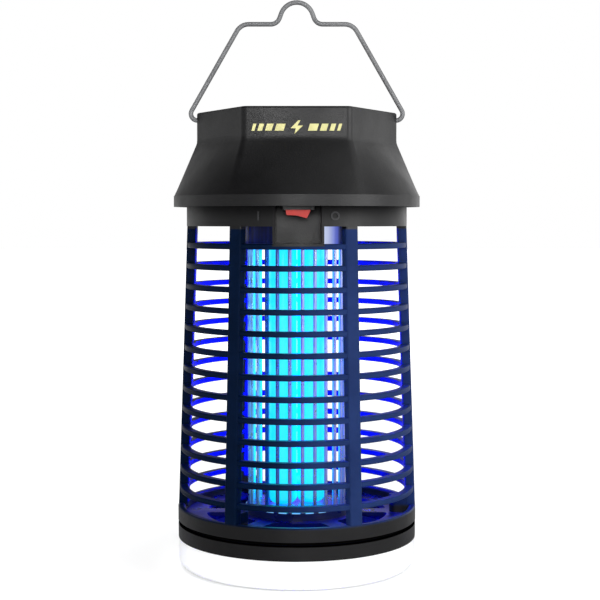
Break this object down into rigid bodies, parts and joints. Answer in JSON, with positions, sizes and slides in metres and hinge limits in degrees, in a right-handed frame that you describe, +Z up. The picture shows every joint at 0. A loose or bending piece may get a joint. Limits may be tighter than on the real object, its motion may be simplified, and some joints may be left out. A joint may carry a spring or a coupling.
{
  "type": "electric bug zapper lantern",
  "caption": "Hanging ultraviolet bug zapper: hexagonal-headed cap with wire bail, caged high-voltage grid round a lamp, rocker switch, twist-off insect tray.",
  "frame": {"origin": "centre of the underside of the tray, which is the foot the lantern stands on", "axes": "+Z up along the lamp and cage axis, -Y towards the front (switch side), +X to the right seen from the front"},
  "size_m": [0.134, 0.134, 0.3081],
  "materials": {
    "black_plastic": "fine satin moulding",
    "black_gloss": "smooth",
    "frosted_white": "translucent satin",
    "seal_rubber": "matt",
    "bail_steel": "bright drawn wire",
    "rocker_red": "smooth",
    "grid_steel": "drawn rod",
    "insulator": "smooth, dark blue",
    "lamp_glass": "phosphor-coated",
    "lamp_plastic": "satin",
    "contact_brass": "plated",
    "screw_steel": "zinc-plated",
    "board_green": "lacquered laminate",
    "ferrite": "ground",
    "coil_copper": "enamelled",
    "capacitor_sleeve": "shrunk sleeve",
    "capacitor_film": "dipped",
    "diode_black": "moulded",
    "resistor_tan": "lacquered",
    "fuse_glass": "clear",
    "block_grey": "moulded",
    "mains_insulation": "smooth",
    "lamp_lead": "smooth",
    "grid_lead": "smooth",
    "emblem_print": "pale printed ink"
  },
  "bodies": {
    "housing": {"top_cap": "black_plastic", "cage": "black_plastic", "chassis_plate": "black_plastic", "floor_plate": "black_gloss", "switch_body": "black_gloss", "power_inlet": "black_gloss", "grid_electrode_a": "grid_steel", "grid_electrode_b": "grid_steel", "upper_grid_holder": "insulator", "lower_grid_holder": "insulator", "lamp_tubes": "lamp_glass", "lamp_base": "lamp_plastic", "lamp_socket": "lamp_plastic", "lamp_pins": "contact_brass", "socket_contacts": "contact_brass", "switch_terminals": "contact_brass", "inlet_pins": "contact_brass", "fuse_clips": "contact_brass", "housing_screws": "screw_steel", "floor_screws": "screw_steel", "lower_holder_screw": "screw_steel", "grid_holder_screws": "screw_steel", "socket_screws": "screw_steel", "board_screws": "screw_steel", "circuit_board": "board_green", "ballast_core": "ferrite", "ballast_coil": "coil_copper", "smoothing_capacitor": "capacitor_sleeve", "multiplier_capacitors": "capacitor_film", "rectifier_diodes": "diode_black", "bleed_resistors": "resistor_tan", "fuse": "fuse_glass", "terminal_block": "block_grey", "mains_wires": "mains_insulation", "lamp_wires": "lamp_lead", "grid_wires": "grid_lead"},
    "bail": {"bail_handle": "bail_steel"},
    "rocker": {"switch_rocker": "rocker_red"},
    "seal": {"tray_seal": "seal_rubber"},
    "tray": {"tray_cup": "frosted_white", "tray_collar": "black_plastic"}
  },
  "joints": [
    {"name": "bail_pivot", "type": "hinge", "parent": "housing", "child": "bail", "pos_m": [0, 0, 0.24325], "axis": [1, 0, 0], "range_deg": [-100, 100]},
    {"name": "rocker_pivot", "type": "hinge", "parent": "housing", "child": "rocker", "pos_m": [0.0008, -0.0536, 0.1965], "axis": [0, -1, 0], "range_deg": [0, 18]},
    {"name": "tray_twist", "type": "hinge", "parent": "housing", "child": "seal", "pos_m": [0, 0, 0.02445], "axis": [0, 0, -1], "range_deg": [0, 60]},
    {"name": "tray_drop", "type": "slide", "parent": "seal", "child": "tray", "axis": [0, 0, -1], "range_m": [0, 0.0101]}
  ],
  "couplings": [
    {"joint": "tray_drop", "follows": "tray_twist", "m_per_rad": 0.0095493}
  ]
}
